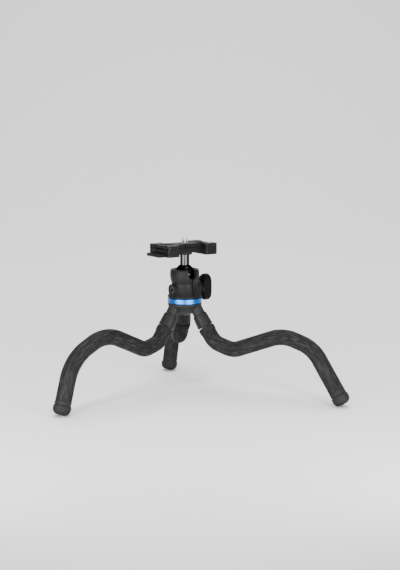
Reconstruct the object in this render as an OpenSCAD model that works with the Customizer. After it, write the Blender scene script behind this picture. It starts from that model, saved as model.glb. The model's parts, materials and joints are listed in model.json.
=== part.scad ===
// Flexible leg tripod: three sleeved bendable legs, a split-clamp ball head and a fold-flat clamp plate.
// The ground is z = 0, the viewer looks along +Y, and the legs are listed as left, right, rear.

/* [Legs] */
// Length of a leg from the end of its collar to the tip of its foot
leg_length = 199; // [196:1:240]
// Outside diameter of the leg sleeve
sleeve_d = 16.5; // [15:0.1:17.5]
// Diameter of the bendable metal core
core_d = 6.8; // [5:0.1:8]
// Diameter of the foot cap
foot_d = 18.2; // [17.8:0.1:22]
// Length of the straight band of the foot cap
foot_band = 8; // [6:0.5:11]
// Rounding of the foot cap's lower edge
foot_round = 6; // [4:0.5:8]
// Diameter of the plain cuff at the top of the sleeve
cuff_d = 17.6; // [16:0.1:17.6]
// Visible length of the cuff with its rounded end
cuff_len = 5.4; // [4:0.1:8]
// Sideways swing of each leg where it leaves its collar
leg_swing = [12, -0.5, 2]; // [-12:0.5:12]
// Lean of each leg's plane out of the upright
leg_lean = [0, -7, 8.5]; // [-12:0.5:12]
// Slope of each leg where it leaves its collar
start_slope = [-52.5, -54, -66]; // [-68:0.5:-50]
// Slope of each leg between its dip and its crest
rise_slope = [24.5, 20.5, 78]; // [18:0.5:86]
// Slope of each leg on its way down to the foot
drop_slope = [-73.5, -56, -103]; // [-106:0.5:-55]
// Bend radius of each dip, on the centreline
dip_radius = [16, 20.5, 13.5]; // [13:0.5:24]
// Bend radius of each crest, on the centreline
crest_radius = [44, 37.5, 12.5]; // [12.5:0.5:44]
// Largest turn at one bending point of a leg
bend_limit = 40; // [20:1:44]

/* [Crown] */
// Direction of the left leg's collar, counted from +X
crown_angle = 215; // [200:1:230]
// Height of the collar ends above the ground
neck_height = 69; // [64:0.5:76]
// Distance of the collar ends from the tripod's axis
neck_reach = 24.5; // [23:0.5:30]
// Slope of the collars
collar_slope = -60; // [-66:1:-56]
// Length of a collar
collar_len = 14; // [12:0.5:18]
// Diameter of a collar at its lower end
collar_d = 17.2; // [16:0.1:18.5]
// Diameter of a collar at its upper end
collar_top_d = 15.4; // [14.6:0.1:16.5]
// Diameter of the crown's arms above the collars
arm_d = 13; // [12:0.1:13.6]
// Diameter of the crown
crown_d = 36.4; // [34:0.2:40]
// Height of the crown's top face above the collar ends
crown_rise = 24.2; // [22:0.1:26]
// Depth of the crown's bowl
bowl_depth = 13.7; // [9:0.1:16]
// Diameter of the coloured ring
ring_d = 36.6; // [34:0.2:40]
// Height of the coloured ring
ring_h = 6.1; // [4:0.1:9]

/* [Ball head] */
// Turn of the head about the tripod's axis
head_yaw = 35; // [0:1:60]
// Diameter of the ball
ball_d = 21; // [19:0.1:22]
// Height of the ball's centre above the ring
ball_rise = 25.6; // [24:0.1:28]
// Diameter of the housing's base flange
flange_d = 36.8; // [35:0.2:40]
// Diameter of the housing at its waist
waist_d = 28; // [27:0.2:30]
// Diameter of the housing's cup
cup_d = 31.6; // [31:0.2:34]
// Height of the clamping bolt above the ring
bolt_rise = 8.8; // [8.4:0.1:9.4]
// Diameter of the clamping bolt
bolt_d = 5; // [4:0.1:5.4]
// Distance of the plain boss's end from the axis
boss_reach = 17; // [16:0.1:20]
// Diameter of the plain boss
boss_d = 12.6; // [11.6:0.1:13]
// Length of the lock knob's wing
knob_len = 29; // [22:0.5:32]
// Width of the lock knob's wing
knob_w = 11.5; // [11:0.1:13]
// Diameter of the stem between ball and plate
stem_d = 9.8; // [8:0.1:10]
// Length from the ball's centre to the plate's underside
stem_len = 20.5; // [19.5:0.1:28]

/* [Clamp plate] */
// Height of the clamp plate without its pads
plate_h = 12; // [10.6:0.1:14]
// Width across the hinge ears
plate_w = 37; // [33:0.5:40]
// Width of the folding jaws
jaw_w = 18.4; // [15:0.2:20]
// Thickness of the folding jaws
jaw_t = 4; // [3.6:0.1:4.4]
// Length of the hinge ears along the plate
ear_len = 14; // [11:0.2:16]
// Distance of the fixed ears' inner face from the stem
fixed_reach = 15.6; // [9:0.2:17]
// Distance of the sliding ears' inner face from the stem
slide_reach = 18.6; // [15:0.1:20]
// Length of the finger lip behind the sliding ears
tail_len = 7.5; // [5:0.5:12]
// Travel of the sliding carriage
slide_travel = 28; // [10:0.5:28]
// Diameter of the guide rods
rod_d = 1.96; // [1.8:0.02:2.1]
// Diameter of the camera screw's thread, a quarter of an inch
screw_d = 6.35; // [6.35]
// Length of the camera screw above its seat
screw_len = 5; // [4:0.1:5.5]

/* [Hidden] */
$fn = 48;
run_gap = 0.05; // radial clearance of a running fit
seat_gap = 0.02; // radial clearance of a seated fit
part_gap = 0.3; // gap between pieces that move past each other
over = 1; // how far a cutter passes a face
lap = 0.1; // how far shapes of one piece run into each other
leg_names = ["left", "right", "rear"];
sleeve_count = 5;
bend_step = 0.06; // bends are this much slimmer than the straights, and
bend_lap = 0.4; // straights reach this far over them

sleeve_r = sleeve_d / 2;
core_r = core_d / 2;
foot_r = foot_d / 2;
foot_step = 0.7; // the ring above the foot's groove is this much slimmer
foot_groove = 0.6;
foot_sole = 0.5; // left between the core's hole and the start of the rounding
bore_r = core_r + part_gap;
socket_r = core_r + run_gap;
// Each bending point has a dome on one sleeve and a dish on the next, round one centre
dome_spare = 4;
dome_r = sleeve_r / cos(bend_limit / 2 + dome_spare);
dish_r = dome_r + part_gap;
cuff_inset = 0.2;
cuff_r = min(cuff_d / 2, dome_r - cuff_inset); // a cuff stays inside its dome
seam_reach = sqrt(dome_r ^ 2 - sleeve_r ^ 2);
lead_len = dish_r;
neck_gap = 0.6;
function neck_kink(i) = let (collar_way = [cos(collar_slope), 0, sin(collar_slope)])
    acos(leg_point(i, heading(start_slope[i])) * collar_way);
function cuff_top(i) = (neck_gap + cuff_r * sin(neck_kink(i))) / cos(neck_kink(i));
function neck_hinge(i) = cuff_top(i) + cuff_len - seam_reach;

// A leg runs in a plane of its own: points are [outwards, up] from the end of its collar
function heading(a) = [cos(a), sin(a)];
function leg_point(i, p) = let (side = -p[1] * sin(leg_lean[i]), turn = leg_swing[i])
    [p[0] * cos(turn) - side * sin(turn), p[0] * sin(turn) + side * cos(turn), p[1] * cos(leg_lean[i])];
function arc_step(radius, a, b) = sign(b - a) * radius * [sin(b) - sin(a), cos(a) - cos(b)];
function arc_len(radius, a, b) = radius * abs(b - a) * PI / 180;
function dip_mid(i) = (start_slope[i] + rise_slope[i]) / 2;
function crest_mid(i) = (rise_slope[i] + drop_slope[i]) / 2;
function set_step(i) = (neck_hinge(i) + lead_len) * heading(start_slope[i])
    + arc_step(dip_radius[i], start_slope[i], dip_mid(i))
    + lead_len * heading(dip_mid(i))
    + arc_step(dip_radius[i], dip_mid(i), rise_slope[i])
    + arc_step(crest_radius[i], rise_slope[i], crest_mid(i))
    + lead_len * heading(crest_mid(i))
    + arc_step(crest_radius[i], crest_mid(i), drop_slope[i]);
function set_len(i) = neck_hinge(i) + 3 * lead_len
    + arc_len(dip_radius[i], start_slope[i], rise_slope[i])
    + arc_len(crest_radius[i], rise_slope[i], drop_slope[i]);
// The rise and the drop take up the rest of the length, with the foot on the ground
function foot_tilt(i) = sqrt(1 - (sin(drop_slope[i]) * cos(leg_lean[i])) ^ 2);
function foot_stand(i) = foot_round + (foot_r - foot_round) * foot_tilt(i);
function free_len(i) = leg_length - foot_round - set_len(i);
function free_fall(i) = (foot_stand(i) - neck_height) / cos(leg_lean[i]) - set_step(i)[1];
function rise_len(i) = (free_fall(i) - free_len(i) * sin(drop_slope[i]))
    / (sin(rise_slope[i]) - sin(drop_slope[i]));
function drop_len(i) = free_len(i) - rise_len(i);

// Bending points 1 to 5 of a leg, and its slope at each
function hinge_slope(i, k) =
    [start_slope[i], dip_mid(i), rise_slope[i], crest_mid(i), drop_slope[i]][k - 1];
function hinge_1(i) = neck_hinge(i) * heading(start_slope[i]);
function dip_start(i) = hinge_1(i) + lead_len * heading(start_slope[i]);
function hinge_2(i) = dip_start(i) + arc_step(dip_radius[i], start_slope[i], dip_mid(i));
function dip_again(i) = hinge_2(i) + lead_len * heading(dip_mid(i));
function rise_start(i) = dip_again(i) + arc_step(dip_radius[i], dip_mid(i), rise_slope[i]);
function hinge_3(i) = rise_start(i) + (rise_len(i) - lead_len) * heading(rise_slope[i]);
function crest_start(i) = rise_start(i) + rise_len(i) * heading(rise_slope[i]);
function hinge_4(i) = crest_start(i) + arc_step(crest_radius[i], rise_slope[i], crest_mid(i));
function crest_again(i) = hinge_4(i) + lead_len * heading(crest_mid(i));
function hinge_5(i) = crest_again(i) + arc_step(crest_radius[i], crest_mid(i), drop_slope[i]);
function foot_centre(i) = hinge_5(i) + drop_len(i) * heading(drop_slope[i]);
function hinge_at(i, k) = [hinge_1(i), hinge_2(i), hinge_3(i), hinge_4(i), hinge_5(i)][k - 1];

// The part stands over the middle of its footprint
function collar_angle(i) = crown_angle + 120 * i;
function off_axis(i, p) = let (q = leg_point(i, p), a = collar_angle(i), out = neck_reach + q[0])
    [out * cos(a) - q[1] * sin(a), out * sin(a) + q[1] * cos(a), neck_height + q[2]];
function crest_out(i) = drop_slope[i] > -90 ? foot_centre(i)
    : crest_again(i) + arc_step(crest_radius[i], crest_mid(i), -90);
feet = [for (i = [0:2]) off_axis(i, foot_centre(i))];
crests = [for (i = [0:2]) off_axis(i, crest_out(i))];
function low_edge(c) = min([for (i = [0:2]) min(feet[i][c] - foot_r, crests[i][c] - sleeve_r)]);
function high_edge(c) = max([for (i = [0:2]) max(feet[i][c] + foot_r, crests[i][c] + sleeve_r)]);
axis_x = -(low_edge(0) + high_edge(0)) / 2;
axis_y = -(low_edge(1) + high_edge(1)) / 2;

// Heights up the tripod's axis
crown_z = neck_height + crown_rise;
head_z = crown_z + ring_h;
ball_z = head_z + ball_rise;
bolt_z = head_z + bolt_rise;
plate_z = ball_z + stem_len;

// Collar, crown and ring
collar_r = collar_d / 2;
collar_top_r = collar_top_d / 2;
collar_edge = 0.5;
arm_r = arm_d / 2;
arm_len = 17;
spigot_step = 0.7;
spigot_r = arm_r - spigot_step;
spigot_len = 10;
socket_depth = 6;
socket_room = 0.2;
crown_r = crown_d / 2;
rim_h = 2;
shoulder_slope = 38;
ring_r = ring_d / 2;
ring_wall = 4.2;
ring_hole_r = crown_r - ring_wall;
ring_edge = 0.7;
centre_r = 3;
centre_head_r = 5;
centre_head_h = 3.6;
centre_sink = 0.4;
centre_hex = 2.2;
centre_top = 5;
centre_room = 0.1;

// Housing
ball_r = ball_d / 2;
flange_r = flange_d / 2;
waist_r = waist_d / 2;
cup_r = cup_d / 2;
flange_h = 2;
shadow_h = 0.8;
shadow_in = 1.2;
waist_z = 15.4;
cup_drop = 1.1;
cup_z = ball_rise - cup_drop;
rim_rise = 4.8;
rim_z = ball_rise + rim_rise;
rim_round = 1.6;
flare_in = 0.2;
flare_run = flange_r - flare_in - waist_r;
flare_r = (pow(flare_run, 2) + pow(waist_z - flange_h, 2)) / (2 * flare_run);
bulge_run = cup_r - waist_r;
bulge_r = (pow(bulge_run, 2) + pow(cup_z - waist_z, 2)) / (2 * bulge_run);
seat_t = 1.5;
seat_rim = 5.5;
cavity_r = ball_r + run_gap;
seat_in_r = ball_r + run_gap;
seat_out_r = seat_in_r + seat_t;
bevel_z = 3.6;
bevel_slope = 2;
slot_gap = 0.4;
slot_r = stem_d / 2 + slot_gap;
slit_w = 1.1;
slit_floor = 0.6;
boss_r = boss_d / 2;
knob_boss_r = 7.8;
knob_boss_reach = 17.5;

// Bolt and knob, along the head's +X
bolt_r = bolt_d / 2;
bolt_head_step = 1.8;
bolt_head_r = bolt_r + bolt_head_step;
bolt_hex_wall = 0.4;
bolt_head_len = 4.4;
bolt_sink = 0.5;
washer_t = 0.9;
washer_r = 5.6;
knob_start = knob_boss_reach + washer_t + part_gap;
knob_hub_r = 7.2;
knob_hub_len = 4.6;
knob_wing_len = 8.6;
knob_end = knob_start + knob_hub_len + knob_wing_len;
insert_wall = 1.7;
insert_r = bolt_r + insert_wall;
insert_len = 9;
insert_room = 0.1;
bolt_short = 0.5;
bolt_end = knob_start + insert_len - bolt_short;

// Clamp plate, along the head's X, with its underside at z = 0
ear_w = plate_w / 2;
pocket_w = jaw_w / 2 + part_gap;
rail_w = jaw_w / 2;
rail_z = 2.4;
jaw_room = 0.4;
rail_top = plate_h - jaw_t - jaw_room;
boss_plate_r = 8;
boss_lap = 0.4;
rod_y = 5.9;
rod_r = rod_d / 2;
rod_z = (rail_z + rail_top) / 2;
spring_bore_r = 1.65;
wire_r = 0.15;
coil_r = 1.3;
coil_turns = 13;
coil_gap = 0.05;
slide_gap = 0.4;
rail_left = -slide_reach + slide_gap;
shoulder_t = 1;
fixed_end = fixed_reach + ear_len;
slide_end = slide_reach + ear_len;
plug_t = 1.2;
rod_head_r = 1.5;
rod_head_t = 1;
rod_room = 2.2;
rod_end = fixed_end - plug_t - rod_room;
pin_r = 1;
pin_short = 0.6;
jaw_mid = plate_h - jaw_t / 2;
hinge_in = 3.7;
fixed_hinge = fixed_end - hinge_in;
slide_hinge_in = 2.2;
slide_hinge = -(slide_end - slide_hinge_in);
stud_r = screw_d / 2;
thread_relief = 0.3;
screw_neck_r = stud_r - thread_relief;
stem_stud_r = stud_r - thread_relief;
notch_gap = 1.2;
notch_r = stud_r + notch_gap;
fixed_tip = -4.6;
tip_gap = 0.6;
slide_tip = fixed_tip - tip_gap;
pad_start = 2.6;
pad_len = 10.5;
pad_t = 0.8;
pad_proud = 0.4;
pad_side = 1.5;
seat_z = plate_h + pad_proud;
stud_top = seat_z + screw_len;
stud_split = 4.6;
stud_gap = 0.2;
spigot_stud_r = 2.5;
tail_w = 24;
tail_t = 3.2;
grip_r = 0.7;
ear_edge = 0.8;
core_hole_r = 1.3;
core_hole_depth = 5;
core_hole_in = 3;
core_hole_drop = 1.6;

// Places
module on_axis() {
    translate([axis_x, axis_y, 0]) children();
}

module in_head(z = 0) {
    translate([axis_x, axis_y, z]) rotate([0, 0, head_yaw]) children();
}

module in_collar(i) {
    on_axis() rotate([0, 0, collar_angle(i)]) translate([neck_reach, 0, neck_height])
        rotate([0, 90 - collar_slope, 0]) children();
}

module in_leg(i) {
    on_axis() rotate([0, 0, collar_angle(i)]) translate([neck_reach, 0, neck_height])
        rotate([0, 0, leg_swing[i]]) rotate([leg_lean[i], 0, 0]) children();
}

// Puts +Z along a slope at a point of a leg's plane
module along(point, slope) {
    translate([point[0], 0, point[1]]) rotate([0, 90 - slope, 0]) children();
}

// A round bar that bends from one slope to another in a leg's plane
module bent_bar(point, radius, a, b, r) {
    turn = sign(b - a);
    centre = point + turn * radius * [-sin(a), cos(a)];
    first = turn > 0 ? a - 90 : b + 90;
    translate([centre[0], 0, centre[1]]) rotate([90, 0, 0]) rotate([0, 0, first])
        rotate_extrude(angle = abs(b - a)) translate([radius, 0]) circle(r - bend_step);
}

module bent_tube(point, radius, a, b) {
    turn = sign(b - a);
    centre = point + turn * radius * [-sin(a), cos(a)];
    first = turn > 0 ? a - 90 : b + 90;
    translate([centre[0], 0, centre[1]]) rotate([90, 0, 0]) rotate([0, 0, first])
        rotate_extrude(angle = abs(b - a)) translate([radius, 0]) difference() {
            circle(sleeve_r - bend_step);
            circle(bore_r + bend_step);
        }
}

// A straight of the core that laps over the bends at both its ends
module lapped_rod(length) {
    translate([0, 0, -bend_lap]) cylinder(r = core_r, h = length + 2 * bend_lap);
}

// Start of a sleeve: a dish round the bending point at the origin, then a straight tube
module dished_tube(length) {
    rotate_extrude() difference() {
        translate([bore_r, 0]) square([sleeve_r - bore_r, length]);
        circle(dish_r);
    }
}

// End of a sleeve or cuff: a straight tube that ends in a dome round the bending point
module domed_tube(length, inside = bore_r, outside = sleeve_r) {
    rotate_extrude() intersection() {
        translate([inside, -length]) square([outside - inside, length + dome_r]);
        union() {
            circle(dome_r);
            translate([0, -length - over]) square([dome_r, length + over]);
        }
    }
}

// Legs
module leg_collar(i) {
    color("#3a3a3c") in_collar(i) rotate_extrude() polygon([
        [socket_r, -collar_len + spigot_len],
        [spigot_r + seat_gap, -collar_len + spigot_len],
        [spigot_r + seat_gap, -collar_len],
        [collar_top_r - collar_edge, -collar_len],
        [collar_top_r, -collar_len + collar_edge],
        [collar_r, -collar_edge],
        [collar_r - collar_edge, 0],
        [socket_r, 0]]);
}

module leg_cuff(i) {
    color("#2e2e30") in_leg(i) along(hinge_1(i), start_slope[i])
        domed_tube(neck_hinge(i) - cuff_top(i), socket_r, cuff_r);
}

module leg_core(i) {
    color("silver") union() {
        in_collar(i) translate([0, 0, -collar_len - socket_depth])
            cylinder(r = core_r, h = collar_len + socket_depth);
        in_leg(i) {
            sphere(core_r + bend_step / 2);
            along([0, 0], start_slope[i]) cylinder(r = core_r, h = neck_hinge(i) + lead_len + bend_lap);
            bent_bar(dip_start(i), dip_radius[i], start_slope[i], dip_mid(i), core_r);
            along(hinge_2(i), dip_mid(i)) lapped_rod(lead_len);
            bent_bar(dip_again(i), dip_radius[i], dip_mid(i), rise_slope[i], core_r);
            along(rise_start(i), rise_slope[i]) lapped_rod(rise_len(i));
            bent_bar(crest_start(i), crest_radius[i], rise_slope[i], crest_mid(i), core_r);
            along(hinge_4(i), crest_mid(i)) lapped_rod(lead_len);
            bent_bar(crest_again(i), crest_radius[i], crest_mid(i), drop_slope[i], core_r);
            along(hinge_5(i), drop_slope[i]) translate([0, 0, -bend_lap])
                cylinder(r = core_r, h = drop_len(i) + bend_lap - over);
        }
    }
}

module leg_sleeve(i, k) {
    color("#343436") in_leg(i) {
        along(hinge_at(i, k), hinge_slope(i, k))
            dished_tube(k == sleeve_count ? drop_len(i) - foot_band - seat_gap : lead_len + bend_lap);
        if (k == 1) bent_tube(dip_start(i), dip_radius[i], start_slope[i], dip_mid(i));
        if (k == 2) bent_tube(dip_again(i), dip_radius[i], dip_mid(i), rise_slope[i]);
        if (k == 3) bent_tube(crest_start(i), crest_radius[i], rise_slope[i], crest_mid(i));
        if (k == 4) bent_tube(crest_again(i), crest_radius[i], crest_mid(i), drop_slope[i]);
        if (k < sleeve_count) along(hinge_at(i, k + 1), hinge_slope(i, k + 1))
            domed_tube(bend_lap + (k == 2 ? rise_len(i) - lead_len : 0));
    }
}

// A foot cap: a slim ring, a groove and a wider cap with a rounded edge and a flat end
module leg_foot(i) {
    ring_len = foot_band / 2;
    cap_start = -foot_band + ring_len + foot_groove;
    color("#2a2a2c") in_leg(i) along(foot_centre(i), drop_slope[i]) difference() {
        rotate_extrude() union() {
            translate([0, -foot_band]) square([foot_r - foot_step - foot_groove, foot_band]);
            translate([0, -foot_band]) square([foot_r - foot_step, ring_len]);
            translate([0, cap_start]) square([foot_r, -cap_start]);
            square([foot_r - foot_round, foot_round]);
            translate([foot_r - foot_round, 0]) intersection() {
                circle(foot_round);
                square(foot_round);
            }
        }
        translate([0, 0, -foot_band - over]) cylinder(r = socket_r, h = foot_band + over - foot_sole);
    }
}

// Crown
module leg_crown() {
    bowl_r = (crown_r ^ 2 + (bowl_depth - rim_h) ^ 2) / (2 * (bowl_depth - rim_h));
    shoulder_run = arm_len;
    inset = 0.3;
    color("#323234") difference() {
        union() {
            on_axis() translate([0, 0, crown_z]) rotate_extrude() union() {
                translate([0, -rim_h]) square([crown_r, rim_h]);
                square([ring_hole_r - seat_gap, ring_h - run_gap]);
                intersection() {
                    translate([0, bowl_r - bowl_depth]) circle(bowl_r);
                    translate([0, -bowl_depth]) square([crown_r, bowl_depth]);
                }
            }
            for (i = [0:2]) intersection() {
                in_collar(i) translate([0, 0, -collar_len - arm_len]) cylinder(r = arm_r, h = arm_len);
                on_axis() translate([0, 0, crown_z]) rotate_extrude() polygon([
                    [0, -inset],
                    [crown_r - inset, -inset],
                    [crown_r - inset, -rim_h + inset],
                    [crown_r + shoulder_run, -rim_h - shoulder_run * tan(shoulder_slope)],
                    [crown_r + shoulder_run, -crown_rise],
                    [0, -crown_rise]]);
            }
            for (i = [0:2]) in_collar(i) translate([0, 0, -collar_len - over])
                cylinder(r = spigot_r, h = spigot_len + over - seat_gap);
        }
        for (i = [0:2]) in_collar(i) translate([0, 0, -collar_len - socket_depth - socket_room])
            cylinder(r = socket_r, h = collar_len + socket_depth);
        on_axis() translate([0, 0, crown_z - bowl_depth - over])
            cylinder(r = centre_r + seat_gap, h = bowl_depth + ring_h + 2 * over);
        on_axis() translate([0, 0, crown_z - bowl_depth - over])
            cylinder(r = centre_head_r + part_gap, h = centre_head_h + over);
    }
}

module accent_ring() {
    color("#1f7fe0") on_axis() translate([0, 0, crown_z]) rotate_extrude() polygon([
        [ring_hole_r, 0],
        [ring_r - ring_edge, 0],
        [ring_r, ring_edge],
        [ring_r, ring_h - ring_edge],
        [ring_r - ring_edge, ring_h],
        [ring_hole_r, ring_h]]);
}

module centre_screw() {
    bottom = crown_z - bowl_depth;
    color("silver") on_axis() difference() {
        union() {
            translate([0, 0, bottom + centre_sink])
                cylinder(r = centre_head_r, h = centre_head_h - centre_sink);
            translate([0, 0, bottom + over]) cylinder(r = centre_r, h = head_z + centre_top - bottom - over);
        }
        translate([0, 0, bottom - over]) cylinder(r = centre_r, h = centre_hex + over, $fn = 6);
    }
}

// Ball head
module housing_profile() {
    square([flange_r - shadow_in, flange_h]);
    translate([0, shadow_h]) square([flange_r, flange_h - shadow_h]);
    difference() {
        translate([0, flange_h - lap]) square([flange_r - flare_in, waist_z - flange_h + lap]);
        translate([waist_r + flare_r, waist_z]) circle(flare_r);
    }
    intersection() {
        translate([cup_r - bulge_r, cup_z]) circle(bulge_r);
        translate([0, waist_z - lap]) square([cup_r, rim_z - rim_round - waist_z + lap]);
    }
    lip = cup_r - bulge_r + sqrt(bulge_r ^ 2 - (rim_z - rim_round - cup_z) ^ 2);
    translate([lip - rim_round, rim_z - rim_round]) circle(rim_round);
    translate([0, rim_z - rim_round - lap]) square([lip - rim_round, rim_round + lap]);
}

module head_housing() {
    color("#3c3c3e") in_head(head_z) difference() {
        union() {
            rotate_extrude() housing_profile();
            translate([-boss_reach, 0, bolt_rise]) rotate([0, 90, 0])
                cylinder(r = boss_r, h = boss_reach + over);
            translate([0, 0, bolt_rise]) rotate([0, 90, 0]) cylinder(r = knob_boss_r, h = knob_boss_reach);
        }
        translate([0, 0, ball_rise]) sphere(cavity_r);
        translate([0, 0, ball_rise]) intersection() {
            sphere(seat_out_r + run_gap);
            translate([-2 * ball_r, -2 * ball_r, -2 * ball_r])
                cube([4 * ball_r, 4 * ball_r, 2 * ball_r - part_gap]);
        }
        bevel_in = sqrt(cavity_r ^ 2 - bevel_z ^ 2);
        bevel_h = rim_z - ball_rise - bevel_z + over;
        bevel_out = bevel_in + bevel_h * bevel_slope;
        translate([0, 0, ball_rise + bevel_z - over])
            cylinder(r1 = bevel_in - over * bevel_slope, r2 = bevel_out, h = bevel_h + over);
        translate([0, 0, ball_rise]) rotate([90, 0, 0]) linear_extrude(cup_d) union() {
            circle(slot_r);
            translate([-slot_r, 0]) square([2 * slot_r, ball_r]);
        }
        translate([-slit_w / 2, -flange_d, flange_h + slit_floor])
            cube([slit_w, flange_d + over, ball_rise - flange_h]);
        translate([-boss_reach - over, 0, bolt_rise]) rotate([0, 90, 0])
            cylinder(r = bolt_r + run_gap, h = 4 * boss_reach);
        translate([-boss_reach - over, 0, bolt_rise]) rotate([0, 90, 0])
            cylinder(r = bolt_head_r + run_gap, h = bolt_head_len + bolt_sink + over);
        translate([0, 0, -over]) cylinder(r = centre_r + seat_gap, h = centre_top + over + centre_room);
    }
}

module clamp_bolt() {
    socket_depth_hex = 2.4;
    start = -boss_reach + bolt_sink;
    color("#4a4a4c") in_head(bolt_z) translate([start, 0, 0]) rotate([0, 90, 0]) difference() {
        union() {
            cylinder(r = bolt_head_r, h = bolt_head_len - run_gap);
            cylinder(r = bolt_r, h = boss_reach - bolt_sink + bolt_end);
        }
        translate([0, 0, -over]) cylinder(r = bolt_r - bolt_hex_wall, h = socket_depth_hex + over, $fn = 6);
    }
}

module thrust_washer() {
    start = knob_boss_reach + run_gap;
    color("silver") in_head(bolt_z) translate([start, 0, 0]) rotate([0, 90, 0]) difference() {
        cylinder(r = washer_r, h = washer_t);
        translate([0, 0, -over]) cylinder(r = bolt_r + run_gap, h = washer_t + 2 * over);
    }
}

module knob_insert() {
    color("goldenrod") in_head(bolt_z) translate([knob_start, 0, 0]) rotate([0, 90, 0]) difference() {
        cylinder(r = insert_r, h = insert_len);
        translate([0, 0, -over]) cylinder(r = bolt_r + run_gap, h = insert_len + 2 * over);
    }
}

// Outline of the knob's wing: two round lobes with hollowed flanks
module wing_outline() {
    lobe_r = knob_w / 2;
    hollow_r = knob_len;
    hollow_depth = 0.5;
    difference() {
        union() {
            for (s = [-1, 1]) translate([s * (knob_len / 2 - lobe_r), 0]) circle(lobe_r);
            translate([-knob_len / 2 + lobe_r, -lobe_r]) square([knob_len - 2 * lobe_r, knob_w]);
        }
        for (s = [-1, 1]) translate([0, s * (lobe_r + hollow_r - hollow_depth)]) circle(hollow_r);
    }
}

module lock_knob() {
    wing_start = knob_hub_len;
    wing_end = knob_hub_len + knob_wing_len;
    tip_r = knob_len / 2;
    edge = 2;
    flare = 3.4;
    end_curve = 42;
    color("#2c2c2e") in_head(bolt_z) translate([knob_start, 0, 0]) rotate([0, 90, 0]) difference() {
        union() {
            cylinder(r1 = knob_hub_r, r2 = knob_w / 2, h = wing_start);
            intersection() {
                linear_extrude(wing_end + over) wing_outline();
                translate([0, 0, wing_end - end_curve]) rotate([90, 0, 0])
                    cylinder(r = end_curve, h = 2 * knob_w, center = true);
                rotate_extrude() polygon([
                    [0, wing_start - flare],
                    [knob_w / 2, wing_start - flare],
                    [tip_r - edge, wing_start],
                    [tip_r, wing_start + edge],
                    [tip_r, wing_end + over],
                    [0, wing_end + over]]);
            }
        }
        translate([0, 0, -over]) cylinder(r = insert_r + seat_gap, h = insert_len + over + insert_room);
    }
}

module ball_stem() {
    color("#141416") in_head(ball_z) union() {
        sphere(ball_r);
        cylinder(r = stem_d / 2, h = stem_len - run_gap);
        cylinder(r = stem_stud_r, h = stem_len + stud_split - stud_gap);
    }
}

module ball_seat() {
    color("ivory") in_head(ball_z) difference() {
        sphere(seat_out_r);
        sphere(seat_in_r);
        translate([-2 * ball_r, -2 * ball_r, -seat_rim]) cube([4 * ball_r, 4 * ball_r, 3 * ball_r]);
    }
}

// Clamp plate
module ear_block(x) {
    translate([x, 0, 0]) difference() {
        linear_extrude(plate_h) polygon([
            [ear_edge, -ear_w],
            [ear_len - ear_edge, -ear_w],
            [ear_len, -ear_w + ear_edge],
            [ear_len, ear_w - ear_edge],
            [ear_len - ear_edge, ear_w],
            [ear_edge, ear_w],
            [0, ear_w - ear_edge],
            [0, -ear_w + ear_edge]]);
        translate([-over, -pocket_w, rail_top]) cube([ear_len + 2 * over, 2 * pocket_w, plate_h]);
    }
}

module pin_hole(x) {
    translate([x, 0, jaw_mid]) rotate([90, 0, 0])
        cylinder(r = pin_r + run_gap, h = plate_w + 2 * over, center = true);
}

module rod_cut(from, to, r) {
    for (s = [-1, 1]) translate([from, s * rod_y, rod_z]) rotate([0, 90, 0]) cylinder(r = r, h = to - from);
}

module clamp_base() {
    color("#262628") in_head(plate_z) difference() {
        union() {
            cylinder(r = boss_plate_r, h = rail_z + boss_lap);
            translate([rail_left, -rail_w, rail_z])
                cube([fixed_reach - rail_left + 2 * lap, 2 * rail_w, rail_top - rail_z]);
            ear_block(fixed_reach);
        }
        pin_hole(fixed_hinge);
        rod_cut(rail_left - over, fixed_end, rod_r + run_gap);
        rod_cut(rail_left + shoulder_t, fixed_end + over, spring_bore_r);
        translate([0, 0, -over]) cylinder(r = stem_stud_r + run_gap, h = stud_split + over);
        cylinder(r = spigot_stud_r + seat_gap, h = plate_h);
    }
}

module camera_screw() {
    color("silver") in_head(plate_z) union() {
        translate([0, 0, stud_split]) cylinder(r = spigot_stud_r, h = plate_h - stud_split);
        translate([0, 0, rail_top]) cylinder(r = screw_neck_r, h = plate_h - rail_top + over);
        translate([0, 0, seat_z]) cylinder(r = stud_r, h = screw_len);
    }
}

module slide_carriage() {
    grips = 3;
    color("#262628") in_head(plate_z) difference() {
        union() {
            ear_block(-slide_end);
            translate([-slide_end - tail_len, -tail_w / 2, 0]) cube([tail_len + 2 * lap, tail_w, tail_t]);
        }
        pin_hole(slide_hinge);
        rod_cut(-slide_end + over, -slide_reach + over, rod_r + seat_gap);
        for (s = [-1, 1]) translate([-slide_end - over, s * (ear_w - core_hole_in), jaw_mid - core_hole_drop])
            rotate([0, 90, 0]) cylinder(r = core_hole_r, h = core_hole_depth + over);
        for (g = [1:grips]) translate([-slide_end - tail_len + 3 * g * grip_r, 0, tail_t])
            rotate([90, 0, 0]) cylinder(r = grip_r, h = tail_w + over, center = true);
    }
}

module guide_rods() {
    start = -slide_end + over + 2 * lap;
    color("silver") in_head(plate_z) for (s = [-1, 1])
        translate([start, s * rod_y, rod_z]) rotate([0, 90, 0]) union() {
            cylinder(r = rod_r, h = rod_end - start);
            translate([0, 0, rod_end - start - rod_head_t]) cylinder(r = rod_head_r, h = rod_head_t);
        }
}

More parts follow.
